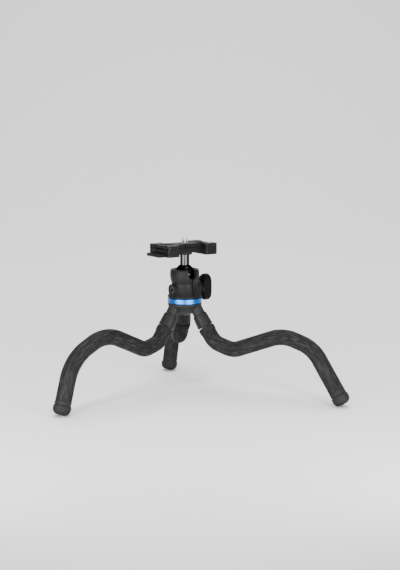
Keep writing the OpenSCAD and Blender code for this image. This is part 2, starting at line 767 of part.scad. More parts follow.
// One return spring: a wire wound as a helix along +Z
module coil_spring(length) {
    steps = 8;
    sides = 4;
    rings = coil_turns * steps;
    function ring_point(n, s) = let (t = 360 * n / steps, a = 360 * s / sides, r = coil_r + wire_r * cos(a))
        [r * cos(t), r * sin(t), length * n / rings + wire_r * sin(a)];
    points = [for (n = [0:rings]) for (s = [0:sides - 1]) ring_point(n, s)];
    walls = [for (n = [0:rings - 1]) for (s = [0:sides - 1])
        let (a = n * sides + s, b = n * sides + (s + 1) % sides)
        each [[a, a + sides, b], [b, a + sides, b + sides]]];
    first = [[0, 1, 2], [0, 2, 3]];
    last = [for (f = first) [for (v = [2, 1, 0]) f[v] + rings * sides]];
    polyhedron(points, concat(walls, first, last));
}

module slide_springs() {
    start = rail_left + shoulder_t + wire_r + coil_gap;
    finish = rod_end - rod_head_t - wire_r - coil_gap;
    color("silver") in_head(plate_z) for (s = [-1, 1])
        translate([start, s * rod_y, rod_z]) rotate([0, 90, 0]) coil_spring(finish - start);
}

module spring_plugs() {
    color("#1c1c1e") in_head(plate_z) for (s = [-1, 1]) translate([fixed_end - plug_t, s * rod_y, rod_z])
        rotate([0, 90, 0]) cylinder(r = spring_bore_r - seat_gap, h = plug_t);
}

// A folding jaw: a flat tongue from its hinge at the origin towards +X, with room for its two pads
module jaw(length) {
    difference() {
        union() {
            translate([0, jaw_w / 2, 0]) rotate([90, 0, 0]) cylinder(r = jaw_t / 2, h = jaw_w);
            translate([0, -jaw_w / 2, -jaw_t / 2]) cube([length, jaw_w, jaw_t]);
        }
        rotate([90, 0, 0]) cylinder(r = pin_r + run_gap, h = jaw_w + 2 * over, center = true);
        pad_bed(jaw_t / 2 - pad_t + pad_proud);
        pad_bed(-jaw_t / 2 - pad_t + pad_proud / 2);
    }
}

module pad_bed(z) {
    translate([pad_start, -jaw_w / 2 + pad_side, z]) cube([pad_len, jaw_w - 2 * pad_side, 2 * pad_t]);
}

module pad(z, h) {
    gap = seat_gap;
    translate([pad_start + gap, -jaw_w / 2 + pad_side + gap, z])
        cube([pad_len - 2 * gap, jaw_w - 2 * pad_side - 2 * gap, h]);
}

module at_fixed_hinge() {
    in_head(plate_z) translate([fixed_hinge, 0, jaw_mid]) rotate([0, 0, 180]) children();
}

module at_slide_hinge() {
    in_head(plate_z) translate([slide_hinge, 0, jaw_mid]) children();
}

module fixed_jaw() {
    color("#2a2a2c") difference() {
        at_fixed_hinge() jaw(fixed_hinge - fixed_tip);
        in_head(plate_z) cylinder(r = notch_r, h = 2 * plate_h);
        in_head(plate_z) translate([2 * fixed_tip, -notch_r, 0])
            cube([-2 * fixed_tip, 2 * notch_r, 2 * plate_h]);
    }
}

module moving_jaw() {
    color("#2a2a2c") at_slide_hinge() jaw(slide_tip - slide_hinge);
}

module jaw_pin() {
    color("silver") rotate([90, 0, 0]) cylinder(r = pin_r, h = plate_w - pin_short, center = true);
}

module grip_pad() {
    color("#1a1a1c") pad(-jaw_t / 2 - pad_proud / 2, pad_t);
}

module top_pad() {
    color("#1a1a1c") pad(jaw_t / 2 - pad_t + pad_proud, pad_t);
}

clamp_base();
camera_screw();
slide_carriage();
guide_rods();
slide_springs();
spring_plugs();
fixed_jaw();
at_fixed_hinge() jaw_pin();  // fixed_jaw_pin
at_fixed_hinge() grip_pad();  // fixed_grip_pad
at_fixed_hinge() top_pad();  // fixed_top_pad
moving_jaw();
at_slide_hinge() jaw_pin();  // moving_jaw_pin
at_slide_hinge() grip_pad();  // moving_grip_pad
at_slide_hinge() top_pad();  // moving_top_pad
ball_stem();
ball_seat();
head_housing();
clamp_bolt();
thrust_washer();
lock_knob();
knob_insert();
accent_ring();
leg_crown();
centre_screw();
for (i = [0:2]) {
    leg_collar(i);
    leg_cuff(i);
    leg_core(i);
    leg_foot(i);
    for (k = [1:sleeve_count])
        leg_sleeve(i, k);
}
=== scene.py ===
"""Flexible leg tripod: the looks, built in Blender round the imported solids."""
import json
import math

import bpy
import numpy as np
from bpy.props import FloatProperty, FloatVectorProperty, PointerProperty
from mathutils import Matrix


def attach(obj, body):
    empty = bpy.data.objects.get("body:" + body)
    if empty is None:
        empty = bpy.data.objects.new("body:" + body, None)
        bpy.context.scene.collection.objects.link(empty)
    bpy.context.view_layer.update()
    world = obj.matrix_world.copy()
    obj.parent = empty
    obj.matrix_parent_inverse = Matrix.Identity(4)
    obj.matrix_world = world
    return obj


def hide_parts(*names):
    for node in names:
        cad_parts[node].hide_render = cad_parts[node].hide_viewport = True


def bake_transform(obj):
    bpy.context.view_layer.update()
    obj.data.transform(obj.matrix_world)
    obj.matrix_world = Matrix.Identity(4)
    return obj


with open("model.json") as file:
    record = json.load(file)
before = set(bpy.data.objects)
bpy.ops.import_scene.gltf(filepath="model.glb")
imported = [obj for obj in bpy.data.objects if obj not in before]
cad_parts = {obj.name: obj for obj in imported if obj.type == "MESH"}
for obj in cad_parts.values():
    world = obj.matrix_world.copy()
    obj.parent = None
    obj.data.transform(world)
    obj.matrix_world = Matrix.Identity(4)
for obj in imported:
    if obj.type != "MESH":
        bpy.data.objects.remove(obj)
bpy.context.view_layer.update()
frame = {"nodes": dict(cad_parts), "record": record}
JOINTS = {joint["name"]: joint for joint in frame["record"]["behaviour"]["joints"]}

bl_info = {
    "name": "Flexible leg tripod",
    "version": (1, 0, 0),
    "blender": (4, 5, 0),
    "location": "3D View > Sidebar > Tripod",
    "description": "Dresses a tabletop tripod with bendable legs, a ball head and a clamp plate",
    "category": "Object",
}

MM = 0.001
TAU = 2 * math.pi
LEGS = ("left", "right", "rear")
BENDS = ("neck_lift", "dip_swing", "rise_bend", "crest_swing", "drop_bend")

PART_GAP = 0.3 * MM  # between pieces that move past each other
NECK_GAP = 0.6 * MM  # least gap between a collar and its cuff
SKIN_RISE = 0.4 * MM  # how far a sleeve's skin starts above its cuff's solid
DOME_SPARE = math.radians(4)  # what the domed sleeve ends cover past half the bend limit

ALUMINIUM = (0.6, 0.6, 0.62, 1)
BLACK_STEEL = (0.05, 0.05, 0.052, 1)
BRASS = (0.7, 0.52, 0.22, 1)
LINER = (0.7, 0.69, 0.64, 1)
PAPER = (0.9, 0.9, 0.9, 1)
SPRING_STEEL = (0.55, 0.55, 0.57, 1)
STEEL = (0.62, 0.62, 0.64, 1)
STEM_BLACK = (0.02, 0.02, 0.021, 1)


# Settings


def size(name, description, default):
    return FloatProperty(name=name, description=description, default=default, unit="LENGTH")


def degrees(name, description, default):
    return FloatProperty(name=name, description=description, default=math.radians(default), subtype="ANGLE")


def power(name, description, default):
    return FloatProperty(name=name, description=description, default=default, unit="POWER")


def per_leg(name, description, values):
    listed = f"{description}: {', '.join(LEGS)}"
    return FloatVectorProperty(name=name, description=listed, size=len(LEGS), default=values)


def colour(name, description, value):
    return FloatVectorProperty(name=name, description=description, subtype="COLOR", size=4, default=value)


class TripodLegSettings(bpy.types.PropertyGroup):
    """Shape of the legs, in the values that the solids have"""

    length: size("Leg length", "From the collar's end to the tip of the foot", 0.199)
    sleeve_radius: size("Sleeve radius", "Mean radius of the soft sleeve", 0.00825)
    bore_radius: size("Sleeve bore", "Radius of the hole for the core", 0.0037)
    core_radius: size("Core radius", "Radius of the bendable core", 0.0034)
    cuff: size("Cuff length", "Plain band at the top of the sleeve", 0.0054)
    cuff_radius: size("Cuff radius", "Radius of the plain band", 0.0088)
    foot_radius: size("Foot radius", "Radius of the foot cap", 0.0091)
    foot_round: size("Foot rounding", "Rounding of the foot's tip", 0.006)
    foot_band: size("Foot band", "Straight part of the foot cap", 0.008)
    foot_step: size("Foot step", "How far the cap stands out from its band", 0.0007)
    neck_height: size("Neck height", "Height of the collar ends", 0.069)
    neck_reach: size("Neck reach", "Distance of the collar ends from the axis", 0.0245)
    crown_angle: degrees("Crown angle", "Direction of the left collar", 215)
    collar_slope: degrees("Collar slope", "Slope of the collars", -60)
    bend_limit: degrees("Bend limit", "Largest turn at one bending point", 40)
    swing: per_leg("Swing", "Sideways turn at the neck, in degrees", (12, -0.5, 2))
    lean: per_leg("Lean", "Lean of the leg's plane, in degrees", (0, -7, 8.5))
    start: per_leg("Start slope", "Slope below the collar, in degrees", (-52.5, -54, -66))
    rise: per_leg("Rise slope", "Slope between dip and crest, in degrees", (24.5, 20.5, 78))
    drop: per_leg("Drop slope", "Slope down to the foot, in degrees", (-73.5, -56, -103))
    dip: per_leg("Dip radius", "Bend radius of the dip, in mm", (16, 20.5, 13.5))
    crest: per_leg("Crest radius", "Bend radius of the crest, in mm", (44, 37.5, 12.5))
    relief: size("Streak relief", "Height of the streaks in the sleeve", 0.00018)
    streak_length: size("Streak length", "Usual length of a streak", 0.005)
    streak_width: size("Streak width", "Usual width of a streak", 0.0009)


class TripodFinishSettings(bpy.types.PropertyGroup):
    """Colours of the finishes"""

    sleeve: colour("Sleeve", "Soft sleeve rubber", (0.0115, 0.0115, 0.0117, 1))
    foot: colour("Foot", "Foot cap rubber", (0.0115, 0.0115, 0.0117, 1))
    collar: colour("Collar", "Collar plastic", (0.0105, 0.0105, 0.0107, 1))
    head: colour("Head", "Head paint", (0.007, 0.007, 0.0072, 1))
    ring: colour("Ring", "Anodised ring", (0.012, 0.11, 0.4, 1))
    plate: colour("Plate", "Clamp plate plastic", (0.0042, 0.0042, 0.0043, 1))


class TripodStageSettings(bpy.types.PropertyGroup):
    """Camera and lights"""

    distance: size("Camera distance", "In front of the tripod's axis", 1.25)
    side: size("Camera side step", "To the right of the axis", 0.0164)
    height: size("Camera height", "Above the ground", 0.3)
    pitch: degrees("Camera pitch", "Downward tilt", 8.55)
    lens: FloatProperty(name="Lens", description="Focal length in millimetres", default=74.5)
    key: power("Key light", "Power of the main softbox", 5)
    strip: power("Strip lights", "Power of each upright strip", 1.8)
    panel: power("Low panels", "Power of each low panel in front", 3.8)
    top: power("Top light", "Power of the softbox overhead", 80)
    sky: FloatProperty(name="Room light", description="Strength of the white room", default=0.4)


# Surfaces


def ring_faces(rows, columns, closed_rows=False):
    """Four-cornered faces of a grid whose columns close into rings, with points numbered row by row."""
    bands = rows if closed_rows else rows - 1
    row, column = np.meshgrid(np.arange(bands), np.arange(columns), indexing="ij")
    below, beside = (row + 1) % rows * columns, (column + 1) % columns
    row = row * columns
    return np.stack([row + column, row + beside, below + beside, below + column], axis=-1).reshape(-1, 4)


def surface(name, *grids, closed_rows=False, streak=None):
    """Object made of ring grids: grid[i, j] is the place of row i and column j. A grid either closes from its
    last row to its first, or has a flat face on both of its ends."""
    points, faces, count = [], [], 0
    for grid in grids:
        rows, columns = grid.shape[:2]
        faces += (ring_faces(rows, columns, closed_rows) + count).tolist()
        if not closed_rows:
            first = np.arange(columns) + count
            faces += [first[::-1].tolist(), (first + (rows - 1) * columns).tolist()]
        points.append(grid.reshape(-1, 3))
        count += rows * columns
    mesh = bpy.data.meshes.new(name)
    mesh.from_pydata(np.concatenate(points).tolist(), [], faces)
    smooth = np.array([len(face) == 4 for face in faces])
    mesh.polygons.foreach_set("use_smooth", smooth)
    if streak is not None:
        heights = mesh.attributes.new("streak", "FLOAT", "POINT")
        heights.data.foreach_set("value", streak.ravel().astype(np.float32))
    mesh.update()
    piece = bpy.data.objects.new(name, mesh)
    bpy.context.scene.collection.objects.link(piece)
    return piece


def turn_z(points, angle):
    """Points turned about Z: x' = x cos - y sin and y' = x sin + y cos."""
    x, y, z = np.moveaxis(points, -1, 0)
    cos, sin = math.cos(angle), math.sin(angle)
    return np.stack([x * cos - y * sin, x * sin + y * cos, z], axis=-1)


def turn_x(points, angle):
    """Points turned about X: y' = y cos - z sin and z' = y sin + z cos."""
    x, y, z = np.moveaxis(points, -1, 0)
    cos, sin = math.cos(angle), math.sin(angle)
    return np.stack([x, y * cos - z * sin, y * sin + z * cos], axis=-1)


def ring_angles(columns):
    """Angles of the points of a ring, as one row."""
    return np.linspace(0, TAU, columns, endpoint=False)[None, :]


def smooth_step(t):
    """0 below 0, 1 above 1, and 3 t^2 - 2 t^3 between."""
    t = np.clip(t, 0, 1)
    return t * t * (3 - 2 * t)


# The head's own frame: origin on the axis at ground level, +X towards the lock knob


def tripod_axis():
    """Foot of the head's upright axis."""
    x, y = JOINTS["head_pan"]["pos_m"][:2]
    return np.array([x, y, 0.0])


def head_yaw():
    """Angle of the lock knob's axis about the upright."""
    x, y = JOINTS["lock_knob_turn"]["axis"][:2]
    return math.atan2(y, x)


def from_head(points):
    """Points of the head's frame in the object's frame."""
    return turn_z(points, head_yaw()) + tripod_axis()


def head_box(node):
    """Lowest and highest corner of a CAD node in the head's frame."""
    vertices = frame["nodes"][node].data.vertices
    places = np.empty(len(vertices) * 3)
    vertices.foreach_get("co", places)
    turned = turn_z(places.reshape(-1, 3) - tripod_axis(), -head_yaw())
    return turned.min(axis=0), turned.max(axis=0)


# Paths of the legs


class LegPath:
    """Centreline of one leg. Its slope is a piecewise linear function of the length along it, constant on the
    straights and changing evenly on the bends, and its place is the running sum of (cos slope, sin slope)
    times the step. The length of the rise is the one that sets the foot on the ground."""

    # Lengths added before and after the path, and the number of places in the running sum
    before, after, points = 4 * MM, 20 * MM, 6001
    # How far the bending points may lie from those of the solids
    tolerance = 0.2 * MM

    def __init__(self, legs, index):
        self.legs, self.index = legs, index
        start, rise, drop = (math.radians(values[index]) for values in (legs.start, legs.rise, legs.drop))
        dip, crest = legs.dip[index] * MM, legs.crest[index] * MM
        lean = math.cos(math.radians(legs.lean[index]))
        # A bending point is the centre of a sleeve's domed end, and a straight of lead or more follows it
        dome = legs.sleeve_radius / math.cos(legs.bend_limit / 2 + DOME_SPARE)
        lead = dome + PART_GAP
        # The cuff starts clear of the collar's end, which the leg meets at an angle
        heading = self.swung(np.array([math.cos(start), 0.0, math.sin(start)]))
        collar = np.array([math.cos(legs.collar_slope), 0.0, math.sin(legs.collar_slope)])
        kink = math.acos(heading @ collar)
        self.cuff_top = (NECK_GAP + legs.cuff_radius * math.sin(kink)) / math.cos(kink)
        neck = self.cuff_top + legs.cuff - math.sqrt(dome**2 - legs.sleeve_radius**2)
        # Dip and crest are two arcs each, with a straight between them: slope before, slope after, radius
        mid_dip, mid_crest = (start + rise) / 2, (rise + drop) / 2
        bends = [(start, mid_dip, dip), (mid_dip, rise, dip)]
        bends += [(rise, mid_crest, crest), (mid_crest, drop, crest)]
        arcs = [radius * abs(b - a) for a, b, radius in bends]
        # Rise and drop share the length that is left, so that their heights add up to what the foot needs
        fall = (neck + lead) * math.sin(start) + lead * (math.sin(mid_dip) + math.sin(mid_crest))
        fall += sum(math.copysign(radius, b - a) * (math.cos(a) - math.cos(b)) for a, b, radius in bends)
        slant = math.sqrt(1 - (math.sin(drop) * lean) ** 2)
        stand = legs.foot_round + (legs.foot_radius - legs.foot_round) * slant
        spare = legs.length - legs.foot_round - neck - 3 * lead - sum(arcs)
        need = (stand - legs.neck_height) / lean - fall
        rise_len = (need - spare * math.sin(drop)) / (math.sin(rise) - math.sin(drop))
        steps = [neck + lead, arcs[0], lead, arcs[1], rise_len, arcs[2], lead, arcs[3], spare - rise_len]
        self.ends = np.concatenate([[0.0], np.cumsum(steps)])
        self.turns = np.repeat([start, mid_dip, rise, mid_crest, drop], 2)
        self.hinges = np.array([neck, self.ends[2], self.ends[5] - lead, self.ends[6], self.ends[8]])
        self.foot = self.ends[9]
        # The running sum, with its zero at the collar's end
        self.fine = np.linspace(-self.before, self.foot + self.after, self.points)
        slope = self.slope((self.fine[1:] + self.fine[:-1]) / 2)
        step = np.diff(self.fine)
        self.out = np.concatenate([[0.0], np.cumsum(np.cos(slope) * step)])
        self.up = np.concatenate([[0.0], np.cumsum(np.sin(slope) * step)])
        self.out -= np.interp(0.0, self.fine, self.out)
        self.up -= np.interp(0.0, self.fine, self.up)
        places = [JOINTS[f"{LEGS[index]}_{bend}"]["pos_m"] for bend in BENDS]
        if np.abs(self.centre(self.hinges) - np.array(places)).max() > self.tolerance:
            raise RuntimeError(f"the {LEGS[index]} leg's path misses the bending points of the solids")

    def slope(self, along):
        """Slope of the path in its own plane."""
        return np.interp(along, self.ends, self.turns)

    def swung(self, flat):
        """The leg's own plane, leant about its outward line and then turned about the upright."""
        leant = turn_x(flat, math.radians(self.legs.lean[self.index]))
        return turn_z(leant, math.radians(self.legs.swing[self.index]))

    def placed(self, flat):
        """Points of the leg's own plane in the object's frame."""
        neck = self.swung(flat) + np.array([self.legs.neck_reach, 0.0, self.legs.neck_height])
        return turn_z(neck, self.legs.crown_angle + self.index * TAU / 3) + tripod_axis()

    def tube(self, along, radius, angle):
        """Surface round the centreline: the centre, plus the radius times (cos angle across + sin angle
        aside), where across is square to the path in its plane and aside is square to that plane."""
        along, radius, angle = np.broadcast_arrays(along, radius, angle)
        slope = self.slope(along)
        out = np.interp(along, self.fine, self.out) - radius * np.cos(angle) * np.sin(slope)
        up = np.interp(along, self.fine, self.up) + radius * np.cos(angle) * np.cos(slope)
        return self.placed(np.stack([out, -radius * np.sin(angle), up], axis=-1))

    def centre(self, along):
        """Place on the centreline."""
        return self.tube(along, 0.0, 0.0)

    def heading(self, along):
        """Direction of the centreline, from two places close to each other."""
        step = 0.2 * MM
        near, far = self.centre(np.array([along - step, along + step]))
        return (far - near) / np.linalg.norm(far - near)


def leg_paths(context):
    """Name and path of each leg."""
    legs = context.scene.tripod_legs
    return [(name, LegPath(legs, index)) for index, name in enumerate(LEGS)]


def streak_field(along, angle, radius, length, width, seed):
    """Streaks along a leg, from -1 to 1: random values on a lattice of long narrow cells, each column of
    cells shifted along the leg by a random amount, with smooth steps between neighbouring values."""
    columns = max(8, round(TAU * radius / width))
    rows = 64
    values = np.random.default_rng(seed).uniform(-1, 1, (columns, rows))
    shift = np.random.default_rng(seed + 1).uniform(0, rows, columns)

    def column_value(column):
        place = along / length + shift[column]
        row = np.floor(place).astype(int)
        part = smooth_step(place - row)
        return values[column, row % rows] * (1 - part) + values[column, (row + 1) % rows] * part

    place = angle / TAU * columns
    column = np.floor(place).astype(int)
    part = smooth_step(place - column)
    return column_value(column % columns) * (1 - part) + column_value((column + 1) % columns) * part


# Finishes


class Finish:
    """A node material under construction."""

    def __init__(self, name, base, roughness, metallic=0.0, shine=0.5):
        self.material = bpy.data.materials.new(name)
        self.material.use_nodes = True
        self.tree = self.material.node_tree
        self.shader = self.tree.nodes["Principled BSDF"]
        self.set("Base Color", base)
        self.set("Roughness", roughness)
        self.set("Metallic", metallic)
        self.set("Specular IOR Level", shine)

    def set(self, socket, value):
        self.shader.inputs[socket].default_value = value

    def join(self, source, socket):
        self.tree.links.new(source, self.shader.inputs[socket])

    def node(self, kind, source=None, into=None, **inputs):
        """A node with the given input values, fed by a source."""
        node = self.tree.nodes.new(kind)
        for key, value in inputs.items():
            node.inputs[key.replace("_", " ")].default_value = value
        if source is not None:
            self.tree.links.new(source, node.inputs[into])
        return node

    def noise(self, scale, detail=3.0, stretch=(1, 1, 1)):
        """Noise on Object coordinates, with its scale per metre."""
        place = self.node("ShaderNodeTexCoord").outputs["Object"]
        mapped = self.node("ShaderNodeMapping", place, "Vector", Scale=stretch).outputs["Vector"]
        return self.node("ShaderNodeTexNoise", mapped, "Vector", Scale=scale, Detail=detail).outputs["Fac"]

    def ramp(self, source, *stops):
        """Colours at places between 0 and 1, blended by a source."""
        ramp = self.node("ShaderNodeValToRGB", source, "Fac")
        elements = ramp.color_ramp.elements
        for _ in stops[2:]:
            elements.new(0.5)
        for element, (place, value) in zip(elements, stops):
            element.position = place
            element.color = value
        return ramp.outputs["Color"]

    def spread(self, source, low, high, source_low=0.3, source_high=0.7):
        """A source's range carried over to another range."""
        limits = {"From_Min": source_low, "From_Max": source_high, "To_Min": low, "To_Max": high}
        return self.node("ShaderNodeMapRange", source, "Value", **limits).outputs["Result"]

    def relief(self, source, depth, edge=0.0):
        """Fine relief of the given depth, over edges rounded by a small radius."""
        bump = self.node("ShaderNodeBump", source, "Height", Strength=1.0, Distance=depth)
        if edge:
            bevel = self.node("ShaderNodeBevel", Radius=edge)
            bevel.samples = 4
            self.tree.links.new(bevel.outputs["Normal"], bump.inputs["Normal"])
        self.join(bump.outputs["Normal"], "Normal")


def shade(base, factor):
    """A colour made darker or lighter."""
    return tuple(min(1.0, part * factor) for part in base[:3]) + (1.0,)


def moulded(name, base, roughness, shine=0.1, grain=2600.0, depth=0.00004, edge=0.00035, cloud=0.16):
    """Moulded or painted surface: a faint cloud in its colour, a fine grain and softened edges."""
    finish = Finish(name, base, roughness, shine=shine)
    patches = finish.noise(scale=90.0, detail=4.0)
    tones = (0.3, shade(base, 1 - cloud)), (0.7, shade(base, 1 + cloud))
    finish.join(finish.ramp(patches, *tones), "Base Color")
    fine = finish.noise(grain, detail=2.0)
    finish.join(finish.spread(fine, roughness - 0.06, roughness + 0.07), "Roughness")
    finish.relief(fine, depth, edge)
    return finish.material


def metal(name, base, roughness, stretch=(1, 1, 1), grain=1500.0, depth=0.00001, edge=0.0002, rim=1.0):
    """Bare, blackened or anodised metal: fine lines in its colour, roughness and relief. Its rims shine by
    the value of rim, from 0 to 1."""
    finish = Finish(name, base, roughness, 1.0)
    finish.set("Specular Tint", (rim, rim, rim, 1.0))
    lines = finish.noise(grain, stretch=stretch)
    tones = (0.3, shade(base, 0.88)), (0.7, shade(base, 1.1))
    finish.join(finish.ramp(lines, *tones), "Base Color")
    finish.join(finish.spread(lines, roughness * 0.75, roughness * 1.3), "Roughness")
    finish.relief(lines, depth, edge)
    return finish.material


def streaked_rubber(name, base):
    """Soft sleeve: the streak height on the mesh makes ridges lighter and less rough, and grooves darker; the
    lighter and darker colour is partly the rubber's own mottle and partly a painted highlight on the ridges
    and painted shade in the grooves.
    """
    finish = Finish(name, base, 0.66, shine=0.06)
    stored = finish.node("ShaderNodeAttribute")
    stored.attribute_name = "streak"
    height = stored.outputs["Fac"]
    level = finish.spread(height, 0.0, 1.0, source_low=-1.0, source_high=1.0)
    # Colour factors by streak height: painted shade in the grooves and a painted highlight on the ridges,
    # over the rubber's own mottle
    ridge_highlight_groove_shade = {0.0: 0.4, 0.45: 0.85, 0.75: 1.4, 1.0: 2.4}
    tones = [(place, shade(base, factor)) for place, factor in ridge_highlight_groove_shade.items()]
    finish.join(finish.ramp(level, *tones), "Base Color")
    finish.join(finish.spread(height, 0.72, 0.5, source_low=-1.0, source_high=1.0), "Roughness")
    finish.relief(finish.noise(scale=2200.0, detail=2.0), depth=0.00004)
    return finish.material


def paint_nodes(material, *nodes):
    """Gives CAD nodes a material."""
    for name in nodes:
        slots = frame["nodes"][name].data.materials
        slots.clear()
        slots.append(material)


def dress(piece, material, slot, body=None, *nodes):
    """Gives a new piece its material and its body, and hides the nodes that it stands for. The slot is not
    used.
    """
    piece.data.materials.append(material)
    if body:
        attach(piece, body)
    if nodes:
        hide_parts(*nodes)


# Pieces


class TRIPOD_OT_sleeves(bpy.types.Operator):
    """Soft sleeves of the legs, with one piece over each bending point"""

    bl_idname = "tripod.sleeves"
    bl_label = "Leg sleeves"

    def execute(self, context):
        rubber = streaked_rubber("sleeve_rubber", tuple(context.scene.tripod_finish.sleeve))
        for name, path in leg_paths(context):
            between = (path.hinges[1:] + path.hinges[:-1]) / 2
            cuts = np.concatenate([[path.cuff_top - SKIN_RISE], between, [path.foot - path.legs.foot_band]])
            for k in range(len(BENDS)):
                piece = self.sleeve(path, f"{name}_sleeve_skin_{k + 1}", cuts[k], cuts[k + 1])
                nodes = [f"{name}_sleeve_{k + 1}"] + [f"{name}_cuff"] * (k == 0)
                dress(piece, rubber, "sleeve_rubber", None, *nodes)
                above, below = f"{name}_{k}" if k else "root", f"{name}_{k + 1}"
                self.bend(path, piece, path.hinges[k], cuts[k], cuts[k + 1], above, below)
        return {"FINISHED"}

    @staticmethod
    def sleeve(path, name, first, last):
        """A length of sleeve as a closed shell: the outside runs along the leg with the streaks as changes of
        its radius, and the inside runs back at the radius of the bore. The cuff at the top is a plain band, a
        little wider, that starts with a rounded corner and ends in a quarter of an ellipse."""
        legs = path.legs
        row_step, fade, foot_margin = 0.5 * MM, 0.8 * MM, 1.2 * MM
        corner_length, corner_depth, band_share = 0.5 * MM, 0.3 * MM, 0.7
        finer, broad_share, narrow_share = 0.6, 0.75, 0.45
        rows = math.ceil((last - first) / row_step) + 1
        along, angle = np.linspace(first, last, rows)[:, None], ring_angles(columns=192)
        seed = 40 + path.index * 10
        length, width = legs.streak_length, legs.streak_width
        broad = streak_field(along, angle, legs.sleeve_radius, length, width, seed)
        narrow = streak_field(along, angle, legs.sleeve_radius, length * finer, width * finer, seed + 3)
        cuff_end = path.cuff_top + legs.cuff * band_share
        below_cuff = smooth_step((along - cuff_end) / fade)
        above_foot = smooth_step((path.foot - legs.foot_band - foot_margin - along) / fade)
        streak = np.clip(broad_share * broad + narrow_share * narrow, -1, 1) * below_cuff * above_foot
        shoulder = np.clip((along - cuff_end) / (legs.cuff * (1 - band_share)), 0, 1)
        lip = (legs.cuff_radius - legs.sleeve_radius) * np.sqrt(1 - shoulder**2)
        corner = np.clip((along - path.cuff_top + SKIN_RISE) / corner_length, 0, 1)
        rounding = corner_depth * (1 - np.sqrt(1 - (1 - corner) ** 2))
        outside = path.tube(along, legs.sleeve_radius + legs.relief / 2 * streak + lip - rounding, angle)
        inner_rows = max(4, rows // 4)
        inside = path.tube(np.linspace(last, first, inner_rows)[:, None], legs.bore_radius, angle)
        streak = np.concatenate([streak, np.zeros(inside.shape[:2])])
        return surface(name, np.concatenate([outside, inside]), closed_rows=True, streak=streak)

    @staticmethod
    def bend(path, piece, hinge, first, last, above, below):
        """Measures how far the piece reaches past its bending point at both ends, and bakes the piece's place
        into its mesh. The bodies above and below are not used."""
        place, way = path.centre(hinge), path.heading(hinge)
        around = ring_angles(columns=24)
        radius = path.legs.cuff_radius
        upper = ((path.tube(first, radius, around) - place) @ way).max()
        lower = ((path.tube(last, radius, around) - place) @ way).min()
        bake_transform(piece)


class TRIPOD_OT_cores(bpy.types.Operator):
    """Ends of the metal cores that show between collars and cuffs"""

    bl_idname = "tripod.cores"
    bl_label = "Core necks"

    def execute(self, context):
        drawn = metal("core_aluminium", ALUMINIUM, 0.35)
        tuck = 2 * MM
        for name, path in leg_paths(context):
            along = np.linspace(-tuck, path.cuff_top + tuck, 24)[:, None]
            neck = path.tube(along, path.legs.core_radius, ring_angles(columns=48))
            dress(surface(f"{name}_core_neck", neck), drawn, "core_aluminium", "root", f"{name}_core")
        return {"FINISHED"}


class TRIPOD_OT_feet(bpy.types.Operator):
    """Rubber foot caps"""

    bl_idname = "tripod.feet"
    bl_label = "Foot caps"

    def execute(self, context):
        base = tuple(context.scene.tripod_finish.foot)
        rubber = moulded("foot_rubber", base, 0.6, grain=1800.0, depth=0.00006)
        for name, path in leg_paths(context):
            piece = surface(f"{name}_foot_cap", self.cap(path))
            dress(piece, rubber, "foot_rubber", f"{name}_5", f"{name}_foot")
        return {"FINISHED"}

    @staticmethod
    def cap(path):
        """A turned profile carried round the leg's end, as places along the leg and radii: a plain band, a
        groove and a wider cap, with quarter circles for the soft edges and for the tip, and a flat sole."""
        legs = path.legs
        soft, slant, band_length = 0.35 * MM, 0.1 * MM, 4 * MM
        groove_width, groove_depth = 0.4 * MM, 0.5 * MM
        top, radius, rounding = -legs.foot_band, legs.foot_radius, legs.foot_round
        band = radius - legs.foot_step
        sole = (radius - rounding) / 2 + 0.2 * MM
        groove = top + band_length
        cap_top = groove + groove_width + 2 * slant
        edge = np.linspace(0, math.pi / 2, 5)
        rise, run = soft * (1 - np.sin(edge)), soft * (1 - np.cos(edge))
        quarter = np.linspace(0, math.pi / 2, 24)[:-1]
        parts = [
            [(top, legs.core_radius), (top, band - soft)],
            np.stack([top + run, band - rise], axis=1),
            np.stack([groove - rise, band - run], axis=1),
            [(groove + slant, band - groove_depth), (cap_top - slant, band - groove_depth)],
            np.stack([cap_top + run, radius - rise], axis=1),
            np.stack([rounding * np.sin(quarter), radius - rounding * (1 - np.cos(quarter))], axis=1),
            [(rounding, sole)],
        ]
        profile = np.concatenate(parts)
        return path.tube(path.foot + profile[:, :1], profile[:, 1:], ring_angles(columns=96))


class TRIPOD_OT_crown(bpy.types.Operator):
    """Collars, crown, centre screw and clamping bolt"""

    bl_idname = "tripod.crown"
    bl_label = "Crown and collars"

    def execute(self, context):
        base = tuple(context.scene.tripod_finish.collar)
        paint_nodes(moulded("collar_plastic", base, 0.42), *(f"{name}_collar" for name in LEGS))
        paint_nodes(moulded("crown_plastic", shade(base, 1.15), 0.45), "leg_crown")
        paint_nodes(metal("black_steel", BLACK_STEEL, 0.38), "centre_screw", "clamp_bolt")
        return {"FINISHED"}


class TRIPOD_OT_ring(bpy.types.Operator):
    """Anodised ring between crown and head"""

    bl_idname = "tripod.ring"
    bl_label = "Accent ring"

    def execute(self, context):
        base = tuple(context.scene.tripod_finish.ring)
        turned = metal("ring_blue", base, 0.3, stretch=(0.4, 0.4, 6.0), grain=900.0)
        paint_nodes(turned, "accent_ring")
        return {"FINISHED"}


class TRIPOD_OT_head(bpy.types.Operator):
    """Ball head with its stem, seat and knob"""

    bl_idname = "tripod.head"
    bl_label = "Ball head"

    def execute(self, context):
        base = tuple(context.scene.tripod_finish.head)
        paint_nodes(moulded("head_paint", base, 0.46), "head_housing")
        glossy = metal("stem_black", STEM_BLACK, 0.14, depth=0.000002, edge=0.0003, rim=0.0)
        paint_nodes(glossy, "ball_stem")
        paint_nodes(moulded("seat_liner", LINER, 0.5), "ball_seat")
        paint_nodes(moulded("knob_plastic", shade(base, 0.4), 0.4, shine=0.06), "lock_knob")
        paint_nodes(metal("insert_brass", BRASS, 0.3), "knob_insert")
        return {"FINISHED"}


